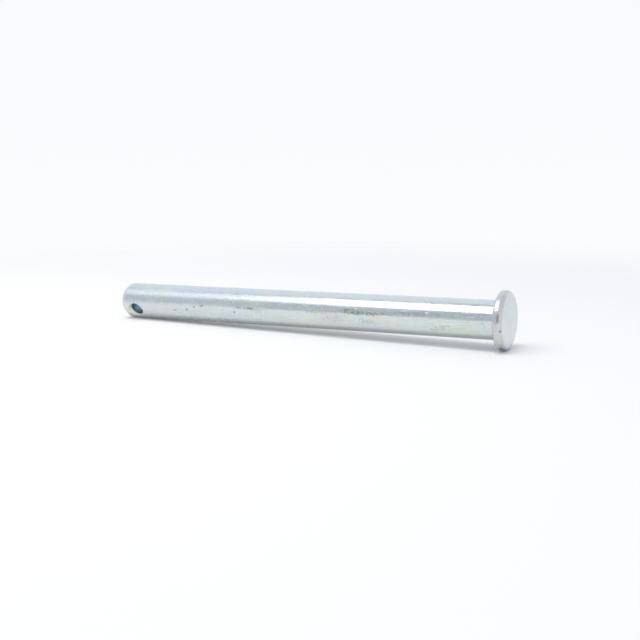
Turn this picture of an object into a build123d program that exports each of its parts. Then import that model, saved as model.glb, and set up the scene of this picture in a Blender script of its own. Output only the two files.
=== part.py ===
"""A clevis pin: one piece of steel bar with an upset flat head, a plain cylindrical shank,
a chamfered tip, and a cross hole near the tip that takes a cotter.

It stands on its head. The origin is the centre of the head's outer face, and +Z runs
along the pin's axis, through the shank, to the tip. The cross hole runs along Y.
Sizes are in millimetres."""

from build123d import *
import os

# The shank, measured from the head's seat to the end of the tip.
shank_diameter = 12.0
shank_length = 136.0

# The upset head, a flat disc with a barrelled rim.
head_diameter = 18.0
head_thickness = 3.0
face_edge_round = 1.3
seat_edge_round = 0.8
neck_fillet = 0.4

# The lead-in chamfer on the tip: its length along the axis and its depth in from the wall.
tip_chamfer_length = 1.65
tip_chamfer_depth = 1.0

# The cotter hole, and the countersink that breaks each of its mouths.
cotter_hole_diameter = 4.2
cotter_hole_to_tip = 5.8
countersink_width = 1.0

# Every other height and radius follows from those.
shank_radius = shank_diameter / 2
head_radius = head_diameter / 2
tip_height = head_thickness + shank_length
cotter_hole_height = tip_height - cotter_hole_to_tip
cotter_hole_radius = cotter_hole_diameter / 2


def turned_blank():
    """The pin before drilling: half its section, revolved about its own axis."""
    face_edge = head_radius - face_edge_round
    seat_edge = head_radius - seat_edge_round
    neck_edge = shank_radius + neck_fillet
    tip_radius = shank_radius - tip_chamfer_depth
    chamfer_start = tip_height - tip_chamfer_length
    with BuildPart() as blank:
        with BuildSketch(Plane.XZ):
            with BuildLine():
                Line((0, 0), (face_edge, 0))
                RadiusArc((face_edge, 0), (head_radius, face_edge_round), -face_edge_round)
                Line((head_radius, face_edge_round), (head_radius, head_thickness - seat_edge_round))
                RadiusArc(
                    (head_radius, head_thickness - seat_edge_round),
                    (seat_edge, head_thickness),
                    -seat_edge_round,
                )
                Line((seat_edge, head_thickness), (neck_edge, head_thickness))
                RadiusArc(
                    (neck_edge, head_thickness),
                    (shank_radius, head_thickness + neck_fillet),
                    neck_fillet,
                )
                Line((shank_radius, head_thickness + neck_fillet), (shank_radius, chamfer_start))
                Line((shank_radius, chamfer_start), (tip_radius, tip_height))
                Line((tip_radius, tip_height), (0, tip_height))
                Line((0, tip_height), (0, 0))
            make_face()
        revolve(axis=Axis.Z)
    return blank.part


def cotter_hole_tool():
    """What the drill and the countersink take out: a bore along Y, flared at both mouths."""
    bore = Cylinder(cotter_hole_radius, 2 * shank_diameter, rotation=(90, 0, 0))
    # The flare's cone goes on past the wall at its own 45 degrees, so that it cuts clean.
    overrun = shank_radius
    flare_length = countersink_width + overrun
    flare = Cone(
        cotter_hole_radius,
        cotter_hole_radius + flare_length,
        flare_length,
        align=(Align.CENTER, Align.CENTER, Align.MIN),
    )
    flare_start = shank_radius - countersink_width
    far_flare = Pos(0, flare_start, 0) * Rot(-90, 0, 0) * flare
    near_flare = Pos(0, -flare_start, 0) * Rot(90, 0, 0) * flare
    return Pos(0, 0, cotter_hole_height) * (bore + far_flare + near_flare)


clevis_pin = turned_blank() - cotter_hole_tool()
clevis_pin.label = "clevis_pin"

os.makedirs("parts", exist_ok=True)
export_step(clevis_pin, "parts/clevis_pin.step")
print("clevis_pin", "volume mm3", round(clevis_pin.volume, 1), "box", clevis_pin.bounding_box().size)
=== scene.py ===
import math

import bmesh
import bpy
from mathutils import Euler, Matrix, Vector


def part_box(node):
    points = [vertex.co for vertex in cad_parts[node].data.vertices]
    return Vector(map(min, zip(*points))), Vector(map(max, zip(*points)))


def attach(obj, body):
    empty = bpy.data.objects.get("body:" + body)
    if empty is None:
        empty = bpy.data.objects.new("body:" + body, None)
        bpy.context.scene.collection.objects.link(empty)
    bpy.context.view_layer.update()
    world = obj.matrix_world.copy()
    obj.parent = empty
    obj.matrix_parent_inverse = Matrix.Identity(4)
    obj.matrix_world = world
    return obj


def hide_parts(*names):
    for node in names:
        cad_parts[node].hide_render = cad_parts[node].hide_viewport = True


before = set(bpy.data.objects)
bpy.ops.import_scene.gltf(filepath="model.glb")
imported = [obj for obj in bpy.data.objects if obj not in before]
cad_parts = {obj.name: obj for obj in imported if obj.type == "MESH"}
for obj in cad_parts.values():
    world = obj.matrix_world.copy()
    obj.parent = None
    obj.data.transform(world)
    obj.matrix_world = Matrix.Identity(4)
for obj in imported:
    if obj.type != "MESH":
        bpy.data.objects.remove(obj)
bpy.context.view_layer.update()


# The turned blank
# The pin is one length of drawn steel bar. Its head is upset from the end of the bar and has
# rounded edges, its tip is turned to a lead-in chamfer, and a small fillet stays at the neck.
# It stands on its head, with the bar's axis along +Z.

MM = 0.001
pin_low, pin_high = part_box("clevis_pin")
tip_height = pin_high.z
head_radius = pin_high.x
shank_radius = 6.0 * MM
head_thickness = 3.0 * MM
face_edge_round = 1.3 * MM
seat_edge_round = 0.8 * MM
neck_fillet = 0.4 * MM
tip_chamfer_length = 1.65 * MM
tip_chamfer_depth = 1.0 * MM
facets_round_bar = 256


def corner(radius_at, height_at, radius, start_deg, end_deg, steps=9):
    """Points on a rounded corner of the section, as (radius, height), from one angle to another."""
    points = []
    for step in range(steps + 1):
        angle = math.radians(start_deg + (end_deg - start_deg) * step / steps)
        points.append((radius_at + radius * math.cos(angle), height_at + radius * math.sin(angle)))
    return points


def stations(start, end, count):
    """Evenly spaced points on a straight run of the section, its two ends left out."""
    inside = []
    for step in range(1, count):
        share = step / count
        inside.append((start[0] + (end[0] - start[0]) * share, start[1] + (end[1] - start[1]) * share))
    return inside


def pin_section():
    """Half the pin's section, from the middle of the head's face up to the middle of the tip."""
    face_edge = (head_radius - face_edge_round, 0.0)
    seat_edge_height = head_thickness - seat_edge_round
    neck_edge = (shank_radius + neck_fillet, head_thickness)
    shank_foot = (shank_radius, head_thickness + neck_fillet)
    shank_top = (shank_radius, tip_height - tip_chamfer_length)
    tip_edge = (shank_radius - tip_chamfer_depth, tip_height)
    section = stations((0.0, 0.0), face_edge, 7)
    section += corner(head_radius - face_edge_round, face_edge_round, face_edge_round, -90, 0, 12)
    section += corner(head_radius - seat_edge_round, seat_edge_height, seat_edge_round, 0, 90)
    section += corner(neck_edge[0], shank_foot[1], neck_fillet, 270, 180, 6)
    section += stations(shank_foot, shank_top, 60)
    section += [shank_top]
    section += stations(shank_top, tip_edge, 3)
    section += [tip_edge]
    section += stations(tip_edge, (0.0, tip_height), 4)
    return section


def ring(bm, radius, height, sides):
    """Points spaced evenly round a circle about Z."""
    points = []
    for side in range(sides):
        angle = 2 * math.pi * side / sides
        points.append(bm.verts.new((radius * math.cos(angle), radius * math.sin(angle), height)))
    return points


def in_scene(bm, name):
    """Puts the finished shape in the scene, under that name."""
    mesh = bpy.data.meshes.new(name)
    bm.to_mesh(mesh)
    bm.free()
    thing = bpy.data.objects.new(name, mesh)
    bpy.context.scene.collection.objects.link(thing)
    return thing


def turn(name, section, facets, foot, top):
    """A closed turned solid: the section's rings about Z, closed by a point at the foot and the top."""
    bm = bmesh.new()
    rings = [ring(bm, radius, height, facets) for radius, height in section]
    foot_point = bm.verts.new((0.0, 0.0, foot))
    top_point = bm.verts.new((0.0, 0.0, top))
    for facet in range(facets):
        beside = (facet + 1) % facets
        bm.faces.new((foot_point, rings[0][beside], rings[0][facet]))
        bm.faces.new((top_point, rings[-1][facet], rings[-1][beside]))
        for lower, upper in zip(rings, rings[1:]):
            bm.faces.new((lower[facet], lower[beside], upper[beside], upper[facet]))
    bmesh.ops.recalc_face_normals(bm, faces=bm.faces)
    return in_scene(bm, name)


pin = turn("pin", pin_section(), facets_round_bar, 0.0, tip_height)


# The cotter hole
# Drilled straight through the shank, square to its axis, for a split cotter. A countersink has
# broken both mouths, and the last of it is rolled over into the hole's wall.

cotter_hole_radius = 2.1 * MM
cotter_hole_height = tip_height - 5.8 * MM
countersink_width = 1.0 * MM
rolled_edge = 0.35 * MM
drill_overshoot = 2.0 * MM
facets_round_drill = 128


def drill():
    """The metal that the drill and the countersink take away, lying along Y."""
    flare_start = shank_radius - countersink_width
    flare_end = shank_radius + drill_overshoot
    flare_radius = cotter_hole_radius + flare_end - flare_start
    far_end = [
        (cotter_hole_radius, flare_start - rolled_edge),
        (cotter_hole_radius + 0.1 * rolled_edge, flare_start - 0.45 * rolled_edge),
        (cotter_hole_radius + 0.3 * rolled_edge, flare_start + 0.1 * rolled_edge),
        (cotter_hole_radius + rolled_edge, flare_start + rolled_edge),
        (flare_radius, flare_end),
    ]
    near_end = [(radius, -height) for radius, height in reversed(far_end)]
    section = near_end + stations(near_end[-1], far_end[0], 6) + far_end
    tool = turn("drill", section, facets_round_drill, -flare_end, flare_end)
    tool.data.transform(Matrix.Rotation(math.radians(90), 4, "X"))
    tool.data.transform(Matrix.Translation((0.0, 0.0, cotter_hole_height)))
    return tool


def cut(piece, tool):
    """Takes the tool's solid out of the piece, and throws the tool away."""
    boolean = piece.modifiers.new("drilled", "BOOLEAN")
    boolean.operation = "DIFFERENCE"
    boolean.solver = "EXACT"
    boolean.object = tool
    bpy.context.view_layer.update()
    evaluated = piece.evaluated_get(bpy.context.evaluated_depsgraph_get())
    drilled = bpy.data.meshes.new_from_object(evaluated)
    piece.modifiers.clear()
    piece.data = drilled
    bpy.data.objects.remove(tool)


def smooth_within(piece, degrees):
    """Shades the piece smooth, with its edges left crisp where the faces turn by more than that."""
    bm = bmesh.new()
    bm.from_mesh(piece.data)
    for face in bm.faces:
        face.smooth = True
    for edge in bm.edges:
        turned_by = edge.calc_face_angle(0.0)
        edge.smooth = turned_by < math.radians(degrees)
    bm.to_mesh(piece.data)
    bm.free()


cut(pin, drill())
pin.data.name = "pin"
smooth_within(pin, 24)
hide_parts("clevis_pin")
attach(pin, "root")


# The zinc plate
# Bright zinc over the bare steel, with a thin clear passivate that shows as faint clouds of
# blue, green, straw and pink. The bar's drawing lines show through it, and so do handling marks.

zinc = bpy.data.materials.new("zinc_plated_steel")
zinc.use_nodes = True
zinc.node_tree.nodes.clear()


def maker_in(tree):
    """Makes the tree's nodes. An input is a plain value or a node's output; _0 is the first input."""
    def make(kind, settings=None, **inputs):
        made = tree.nodes.new(kind)
        for name, value in (settings or {}).items():
            setattr(made, name, value)
        for name, value in inputs.items():
            socket = made.inputs[int(name[1:])] if name[0] == "_" else made.inputs[name.replace("_", " ")]
            if isinstance(value, bpy.types.NodeSocket):
                tree.links.new(value, socket)
            else:
                socket.default_value = value
        return made
    return make


zinc_node = maker_in(zinc.node_tree)


def math_node(operation, first, second=0.0, third=0.0):
    return zinc_node("ShaderNodeMath", {"operation": operation}, _0=first, _1=second, _2=third).outputs[0]


def grain(size, stretch=(1.0, 1.0, 1.0), detail=3.0, offset=0.0):
    """Cloudy noise of about that size in metres, stretched along the pin's own axes."""
    placed = zinc_node("ShaderNodeMapping", {}, Vector=on_pin, Scale=stretch, Location=(offset, 0.0, offset))
    clouds = zinc_node("ShaderNodeTexNoise", {}, Vector=placed.outputs[0], Scale=1 / size, Detail=detail)
    return clouds.outputs[0]


def between(value, low, high, to_low=0.0, to_high=1.0):
    """The value's share of the way from low to high, held between the two results."""
    ends = {"From_Min": low, "From_Max": high, "To_Min": to_low, "To_Max": to_high}
    smooth = {"interpolation_type": "SMOOTHSTEP"}
    return zinc_node("ShaderNodeMapRange", smooth, Value=value, **ends).outputs[0]


def tinted(share, under, over):
    """The colour under, mixed with the colour over by that share."""
    return zinc_node("ShaderNodeMix", {"data_type": "RGBA"}, _0=share, _6=under, _7=over).outputs[2]


on_pin = zinc_node("ShaderNodeTexCoord").outputs["Object"]
place_on_pin = zinc_node("ShaderNodeSeparateXYZ", {}, _0=on_pin).outputs
steel_grey = (0.685, 0.695, 0.715, 1.0)
sky_blue = (0.63, 0.69, 0.75, 1.0)
leaf_green = (0.685, 0.75, 0.705, 1.0)
straw = (0.74, 0.74, 0.60, 1.0)
shell_pink = (0.73, 0.67, 0.71, 1.0)

# The passivate drained towards the head as it dried, so it is greenest on the side below the
# cotter hole's mouth, towards the head, and bluest on the +X side.
below_mouth = between(place_on_pin[1], -0.6 * shank_radius, -1.0 * shank_radius)
head_end = between(place_on_pin[2], 0.85 * tip_height, 0.1 * tip_height, 0.15, 1.0)
green_share = math_node("MULTIPLY", below_mouth, head_end)
blue_share = between(place_on_pin[0], -0.2 * shank_radius, 0.9 * shank_radius, 0.15, 0.8)
colour = tinted(blue_share, steel_grey, sky_blue)
colour = tinted(green_share, colour, leaf_green)
clouds = between(grain(8 * MM, (1.0, 1.0, 0.45), 4.0, 0.3), 0.42, 0.70, 0.0, 0.7)
colour = tinted(clouds, colour, sky_blue)
clouds = between(grain(6 * MM, (1.0, 1.0, 0.5), 4.0, 1.7), 0.44, 0.70, 0.0, 0.7)
colour = tinted(clouds, colour, leaf_green)
clouds = between(grain(3.5 * MM, (1.0, 1.0, 0.6), 5.0, 2.9), 0.48, 0.74, 0.0, 0.5)
colour = tinted(clouds, colour, straw)
clouds = between(grain(4.5 * MM, (1.0, 1.0, 0.6), 5.0, 4.1), 0.48, 0.74, 0.0, 0.65)
colour = tinted(clouds, colour, shell_pink)

# The drilled wall is bare of bright plate and stays dark, and its rolled mouths are strawy.
over_hole = math_node("SUBTRACT", place_on_pin[2], cotter_hole_height)
from_hole = zinc_node("ShaderNodeCombineXYZ", {}, X=place_on_pin[0], Z=over_hole)
hole_length = zinc_node("ShaderNodeVectorMath", {"operation": "LENGTH"}, _0=from_hole.outputs[0])
hole_distance = hole_length.outputs["Value"]
rolled = between(hole_distance, cotter_hole_radius + 1.15 * MM, cotter_hole_radius + 0.8 * MM, 0.0, 0.8)
mouth = math_node("MULTIPLY", rolled, between(place_on_pin[0], 2.0 * MM, -0.8 * MM, 0.2, 1.0))
colour = tinted(mouth, colour, straw)
drilled_wall = between(hole_distance, cotter_hole_radius + 0.12 * MM, cotter_hole_radius + 0.02 * MM)
colour = tinted(drilled_wall, colour, (0.52, 0.68, 0.71, 1.0))

# The head was struck, not drawn, so its rim is a little duller and pinker than the shank.
on_rim = between(place_on_pin[2], head_thickness + 0.2 * MM, head_thickness - 0.3 * MM)
off_face = between(place_on_pin[2], 0.0, 0.25 * MM)
rim = math_node("MULTIPLY", on_rim, off_face)
colour = tinted(math_node("MULTIPLY", rim, 0.55), colour, (0.62, 0.585, 0.60, 1.0))
struck = math_node("MULTIPLY", rim, between(grain(1.1 * MM, (1.0, 1.0, 1.0), 4.0, 3.3), 0.46, 0.66))
colour = tinted(math_node("MULTIPLY", struck, 0.4), colour, (0.44, 0.435, 0.45, 1.0))

# The lead-in at the tip was turned, and is a shade greyer than the drawn wall.
lead_in_start = tip_height - tip_chamfer_length
lead_in = between(place_on_pin[2], lead_in_start - 0.08 * MM, lead_in_start + 0.16 * MM)
colour = tinted(math_node("MULTIPLY", lead_in, 0.5), colour, (0.60, 0.58, 0.59, 1.0))


def mark(height_mm, side_deg, length_mm, width_mm, ragged=1.6, radius=shank_radius):
    """How strongly one handling mark, or one patch of painted shadow, shows, that far up the pin and that
    far round it from +X.
    """
    side = math.radians(side_deg)
    length = length_mm * MM
    width = width_mm * MM
    centre = (radius * math.cos(side), radius * math.sin(side), height_mm * MM)
    away = zinc_node("ShaderNodeVectorMath", {"operation": "SUBTRACT"}, _0=on_pin, _1=centre).outputs[0]
    per_half = (2 / width, 2 / width, 2 / length)
    sized = zinc_node("ShaderNodeVectorMath", {"operation": "MULTIPLY"}, _0=away, _1=per_half).outputs[0]
    distance = zinc_node("ShaderNodeVectorMath", {"operation": "LENGTH"}, _0=sized).outputs["Value"]
    torn = math_node("MULTIPLY_ADD", ragged_edge, ragged, distance)
    return between(torn, 1.0 + 0.5 * ragged, 0.35 + 0.5 * ragged)


def all_marks(marks):
    """The strongest of the marks at each place."""
    together = marks[0]
    for one in marks[1:]:
        together = math_node("MAXIMUM", together, one)
    return together


ragged_edge = grain(0.5 * MM, (0.8, 0.8, 1.0), 3.0, 8.8)
dark_marks_and_painted_shadow = all_marks([
    mark(116, -80, 1.5, 0.7),
    mark(111, -75, 1.4, 0.9),
    mark(108, -65, 1.1, 0.7),
    mark(105, -60, 2.2, 0.8, 3.0),
    mark(92, -75, 1.3, 0.7),
    mark(90, -60, 4.0, 0.7, 4.0),
    mark(86, -60, 4.2, 1.0, 3.0),
    mark(51, -50, 3.4, 1.5, 3.4),
    mark(48, -55, 6.0, 1.5, 4.0),
    mark(42, -55, 6.0, 1.1, 5.0),
    # On the head's rim: a dark streak and a dent, then dark ragged specks low on the near side. The last
    # patch, at -145 degrees where the rim rests on the table, is painted contact shadow, not a mark.
    mark(1.2, -50, 1.0, 3.6, 0.8, head_radius),
    mark(0.5, -75, 0.9, 1.1, 0.6, head_radius - 0.3 * MM),
    mark(1.2, -125, 1.8, 3.0, 5.0, head_radius),
    mark(1.0, -145, 2.0, 4.5, 2.0, head_radius),
])
smudges = all_marks([
    mark(109, -80, 5.0, 1.0, 5.0),
    mark(83, -65, 4.0, 1.4, 6.0),
    mark(62, -60, 7.0, 1.2, 6.0),
    mark(55, -75, 9.0, 3.2, 6.0),
    mark(47, -55, 12.0, 2.6, 4.0),
    mark(44, -80, 7.0, 2.0, 6.0),
    mark(30, -50, 16.0, 1.6, 5.0),
    mark(20, -90, 6.0, 1.6, 6.0),
])
bright_marks = all_marks([
    mark(24, -45, 1.8, 0.9, 1.0),
    mark(70, -85, 2.6, 0.5),
])
grooves = all_marks([
    mark(6.5, -65, 0.8, 1.0, 1.0),
    mark(6, -75, 0.7, 1.3, 1.0),
    mark(18, -80, 5.0, 0.35, 1.0),
    mark(22, -95, 1.2, 0.7, 1.0),
])
stains = all_marks([
    mark(39, -70, 6.0, 3.2, 2.5),
    mark(35, -85, 5.0, 3.4, 2.5),
    mark(94, -70, 3.6, 2.2, 2.0),
    mark(12, -90, 8.0, 4.0, 2.5),
    mark(50, -65, 4.0, 1.6, 2.5),
])


def scratches(width, length, turn_deg, offset, sparse):
    """Fine lines that far apart in direction from the pin's axis, few where sparse is high."""
    angles = (math.radians(turn_deg), math.radians(-0.6 * turn_deg), 0.0)
    by_angles = {"rotation_type": "EULER_XYZ"}
    turned = zinc_node("ShaderNodeVectorRotate", by_angles, Vector=on_pin, Rotation=angles).outputs[0]
    stretch = (1.0, 1.0, width / length)
    shift = (offset, offset, offset)
    drawn_out = zinc_node("ShaderNodeMapping", {}, Vector=turned, Scale=stretch, Location=shift).outputs[0]
    lines = zinc_node("ShaderNodeTexNoise", {}, Vector=drawn_out, Scale=1 / width, Detail=1.0)
    return between(lines.outputs[0], sparse, sparse + 0.06)


handling = all_marks([
    scratches(0.18 * MM, 5.0 * MM, 0, 0.1, 0.67),
    scratches(0.18 * MM, 4.0 * MM, 14, 0.7, 0.69),
    scratches(0.16 * MM, 3.0 * MM, -27, 1.3, 0.70),
    scratches(0.16 * MM, 2.5 * MM, 62, 1.9, 0.71),
])
pits = between(grain(0.45 * MM, (1.0, 1.0, 0.7), 2.0, 5.5), 0.735, 0.775)
scratch_grey = (0.40, 0.41, 0.42, 1.0)
pit_grey = (0.30, 0.30, 0.30, 1.0)
nick_white = (0.82, 0.83, 0.84, 1.0)
groove_grey = (0.35, 0.36, 0.37, 1.0)
mark_and_painted_shadow_black = (0.17, 0.165, 0.16, 1.0)
colour = tinted(math_node("MULTIPLY", stains, 0.6), colour, straw)
colour = tinted(math_node("MULTIPLY", handling, 0.45), colour, scratch_grey)
colour = tinted(math_node("MULTIPLY", pits, 0.5), colour, pit_grey)
colour = tinted(bright_marks, colour, nick_white)
colour = tinted(math_node("MULTIPLY", grooves, 0.35), colour, groove_grey)
colour = tinted(math_node("MULTIPLY", smudges, 0.3), colour, pit_grey)
# The near-black here paints the dark marks, and also a painted contact shadow on the underside of the head's
# rim.
colour = tinted(math_node("MULTIPLY", dark_marks_and_painted_shadow, 0.62), colour, mark_and_painted_shadow_black)

# The plate is duller in patches, on the rim, where it is marked or carries the painted contact shadow, and
# towards the tip.
tip_end = between(place_on_pin[2], 0.5 * tip_height, 0.9 * tip_height)
roughness = between(grain(1.8 * MM, (1.0, 1.0, 0.4), 5.0, 6.3), 0.35, 0.7, 0.17, 0.27)
for duller, by in ((dark_marks_and_painted_shadow, 0.3), (rim, 0.10), (tip_end, 0.10)):
    roughness = math_node("MULTIPLY_ADD", duller, by, roughness)

# The relief is in twentieths of a millimetre: the drawing lines, the grain across them, the
# bar's slow waves, the hammered rim, and every mark, the painted contact shadow on the rim too.
drawing_lines = grain(0.35 * MM, (1.0, 1.0, 0.03), 2.0)
cross_grain = grain(0.42 * MM, (0.3, 0.3, 1.0), 3.0, 6.1)
waves = grain(2.4 * MM, (1.0, 1.0, 0.5), 3.0, 7.7)
height = math_node("MULTIPLY", drawing_lines, 0.12)
for raised, by in (
    (cross_grain, 0.5),
    (waves, 0.9),
    (struck, -0.5),
    (handling, -0.25),
    (dark_marks_and_painted_shadow, -0.4),
    (grooves, -1.2),
    (bright_marks, 0.6),
    (pits, -0.4),
):
    height = math_node("MULTIPLY_ADD", raised, by, height)
edges = zinc_node("ShaderNodeBevel", {"samples": 4}, Radius=0.12 * MM).outputs[0]
relief = zinc_node("ShaderNodeBump", {}, Strength=1.0, Distance=0.05 * MM, Height=height, Normal=edges)
plated = {"Metallic": 1.0, "Base_Color": colour, "Roughness": roughness, "Normal": relief.outputs[0]}
surface = zinc_node("ShaderNodeBsdfPrincipled", {}, **plated)
zinc_node("ShaderNodeOutputMaterial", {}, Surface=surface.outputs[0])
pin.data.materials.clear()
pin.data.materials.append(zinc)


# The table, the light and the camera
# The pin is shown lying on a white table, on its head's rim and the edge of its tip. It stays
# upright in its own frame, so the table is a plane set up against its side. The set is laid out
# from the point of the table under the head: X runs right, Y away and Z up.

lie_angle = math.radians(152.85)
turned_down = math.radians(-27.5)
lean = math.atan((head_radius - shank_radius) / (tip_height - head_thickness))
along = Vector((math.cos(lie_angle) * math.cos(lean), math.sin(lie_angle) * math.cos(lean), -math.sin(lean)))
across = Vector((-math.sin(lie_angle), math.cos(lie_angle), 0.0))
above = along.cross(across)
hole_side = math.cos(turned_down) * across + math.sin(turned_down) * above
hole_top = math.cos(turned_down) * above - math.sin(turned_down) * across
pin_as_laid = Matrix((hole_top, -hole_side, along)).transposed()
rim_drop = (head_thickness - seat_edge_round) * math.sin(lean)
head_rest = Vector((0.0, 0.0, head_radius * math.cos(lean) + rim_drop))
studio = pin_as_laid.transposed().to_4x4() @ Matrix.Translation(-head_rest)


def in_studio(thing, place, turned=(0.0, 0.0, 0.0)):
    """Puts a thing of the set at a place on or over the table, turned by those degrees."""
    angles = Euler([math.radians(degrees) for degrees in turned])
    thing.matrix_world = studio @ Matrix.Translation(place) @ angles.to_matrix().to_4x4()


bright_white = (0.975, 0.98, 0.995, 1.0)
table_white = (0.93, 0.935, 0.94, 1.0)
table_reach = 0.5
fade_from = 0.22 * table_reach
fade_to = 0.75 * table_reach


def white_card(name, lift):
    """White paper, seen from its front only, that fades out. Its shadow is lifted by that share."""
    card = bpy.data.materials.new(name)
    card.use_nodes = True
    card.node_tree.nodes.clear()
    card_node = maker_in(card.node_tree)
    largest = {"operation": "MAXIMUM"}
    place = card_node("ShaderNodeTexCoord").outputs["Object"]
    out = card_node("ShaderNodeVectorMath", {"operation": "LENGTH"}, _0=place).outputs["Value"]
    smooth = {"interpolation_type": "SMOOTHSTEP"}
    fade = card_node("ShaderNodeMapRange", smooth, Value=out, From_Min=fade_from, From_Max=fade_to)
    back = card_node("ShaderNodeNewGeometry").outputs["Backfacing"]
    hidden = card_node("ShaderNodeMath", largest, _0=fade.outputs[0], _1=back)
    path = card_node("ShaderNodeLightPath").outputs
    seen = card_node("ShaderNodeMath", largest, _0=path["Is Camera Ray"], _1=path["Is Glossy Ray"])
    lifted = card_node("ShaderNodeMath", {"operation": "MULTIPLY"}, _0=seen.outputs[0], _1=lift)
    paper = card_node("ShaderNodeBsdfDiffuse", {}, Color=table_white).outputs[0]
    bright = card_node("ShaderNodeEmission", {}, Color=bright_white).outputs[0]
    lit = card_node("ShaderNodeMixShader", {}, _0=lifted.outputs[0], _1=paper, _2=bright).outputs[0]
    clear = card_node("ShaderNodeBsdfTransparent").outputs[0]
    mixed = card_node("ShaderNodeMixShader", {}, _0=hidden.outputs[0], _1=lit, _2=clear).outputs[0]
    card_node("ShaderNodeOutputMaterial", {}, Surface=mixed)
    return card


sheet = bmesh.new()
bmesh.ops.create_grid(sheet, x_segments=1, y_segments=1, size=table_reach)
table = in_scene(sheet, "table")
table.data.materials.append(white_card("table_white", 0.06))
in_studio(table, (-0.4 * tip_height, 0.2 * tip_height, 0.0))

# The ground at the pin's foot is only looked at, and its middle is left out under the head.
ground_sides = 96
sheet = bmesh.new()
inner = ring(sheet, head_radius - 0.2 * MM, 0.0, ground_sides)
outer = ring(sheet, table_reach, 0.0, ground_sides)
for side in range(ground_sides):
    beside = (side + 1) % ground_sides
    sheet.faces.new((inner[side], outer[side], outer[beside], inner[beside]))
ground = in_scene(sheet, "ground")
ground.data.materials.append(white_card("ground_white", 0.80))
ground.visible_diffuse = False
ground.visible_glossy = False
ground.visible_shadow = False
ground.visible_transmission = False

# What the plate mirrors is a plain room: grey overhead, paler to the left, white to the right,
# behind and below. What lights it all round is one soft white, and what is seen past it is white.
world = bpy.data.worlds.new("studio")
bpy.context.scene.world = world
world.use_nodes = True
world.node_tree.nodes.clear()
world_node = maker_in(world.node_tree)


def towards(direction):
    """How far a ray of the world points along a direction of the set, from -1 to 1."""
    facing = studio.to_3x3() @ Vector(direction)
    ray = world_node("ShaderNodeTexCoord").outputs["Generated"]
    dot_product = {"operation": "DOT_PRODUCT"}
    return world_node("ShaderNodeVectorMath", dot_product, _0=ray, _1=facing).outputs["Value"]


def world_ramp(value, first, second):
    """One shade up to the first stop, the other from the second stop on, and blended between them."""
    share = world_node("ShaderNodeMapRange", {}, Value=value, From_Min=-1.0, From_Max=1.0)
    ramp = world_node("ShaderNodeValToRGB", {}, _0=share.outputs[0])
    for element, (position, shade) in zip(ramp.color_ramp.elements, (first, second)):
        element.position = position
        element.color = shade
    return ramp.outputs[0]


def world_mix(share, first, second):
    """One colour of the world or the other, by that share."""
    return world_node("ShaderNodeMix", {"data_type": "RGBA"}, _0=share, _6=first, _7=second).outputs[2]


room_grey = (0.53, 0.57, 0.61, 1.0)
room_pale = (0.66, 0.71, 0.77, 1.0)
room_white = (0.86, 0.87, 0.89, 1.0)
backdrop_white = (0.94, 1.0, 1.06, 1.0)
floor_white = (0.96, 0.97, 0.98, 1.0)
soft_white = (0.68, 0.695, 0.72, 1.0)
low_white = (0.98, 0.99, 1.0, 1.0)
high_white = (0.93, 0.945, 0.98, 1.0)
black = (0.0, 0.0, 0.0, 1.0)
white = (1.0, 1.0, 1.0, 1.0)
upwards = (0.0, 0.0, 1.0)
to_the_left = world_ramp(towards(along), (0.62, black), (0.82, white))
to_the_right = world_ramp(towards(-along), (0.45, black), (0.62, white))
behind = world_ramp(towards((0.0, 1.0, 0.0)), (0.64, black), (0.69, white))
below = world_ramp(towards(upwards), (0.48, white), (0.51, black))
room = world_mix(to_the_right, world_mix(to_the_left, room_grey, room_pale), room_white)
mirrored = world_mix(below, world_mix(behind, room, backdrop_white), floor_white)
seen_past_it = world_ramp(towards(upwards), (0.40, low_white), (0.60, high_white))
path = world_node("ShaderNodeLightPath").outputs
around = world_mix(path["Is Glossy Ray"], soft_white, mirrored)
shown = world_mix(path["Is Camera Ray"], around, seen_past_it)
sky = world_node("ShaderNodeBackground", {}, Color=shown)
world_node("ShaderNodeOutputWorld", {}, Surface=sky.outputs[0])


def softbox(name, length, depth, watts, from_head, swung_up, distance):
    """A soft lamp lined up with the pin: how far along from the head, how high over the near side."""
    light = bpy.data.lights.new(name, "AREA")
    light.shape = "RECTANGLE"
    light.size = length
    light.size_y = depth
    light.energy = watts
    lamp = bpy.data.objects.new(name, light)
    bpy.context.scene.collection.objects.link(lamp)
    swing = math.radians(swung_up)
    outward = math.cos(swing) * across + math.sin(swing) * above
    hung = Matrix((along, outward.cross(along), outward)).transposed().to_4x4()
    lamp.matrix_world = studio @ Matrix.Translation(from_head * along + distance * outward) @ hung
    return lamp


# The two overhead lamps make the long highlight. The key, which the plate doesn't mirror,
# throws the shadow.
softbox("overhead", length=0.24, depth=0.37, watts=0.54, from_head=0.21, swung_up=66.5, distance=0.5)
softbox("overhead_end", length=0.30, depth=0.30, watts=0.15, from_head=0.48, swung_up=64.0, distance=0.5)
key = softbox("key", length=0.18, depth=0.18, watts=1.10, from_head=0.07, swung_up=76.0, distance=0.7)
key.visible_glossy = False

camera_place = (-0.0561, -0.2906, 0.0584)
camera_looks_down = 9.59
camera = bpy.data.cameras.new("camera")
camera.lens = 56.2
camera.clip_start = 0.01
camera_object = bpy.data.objects.new("camera", camera)
bpy.context.scene.collection.objects.link(camera_object)
bpy.context.scene.camera = camera_object
in_studio(camera_object, camera_place, (90.0 - camera_looks_down, 0.0, 0.0))

bpy.context.scene.view_settings.view_transform = "Standard"
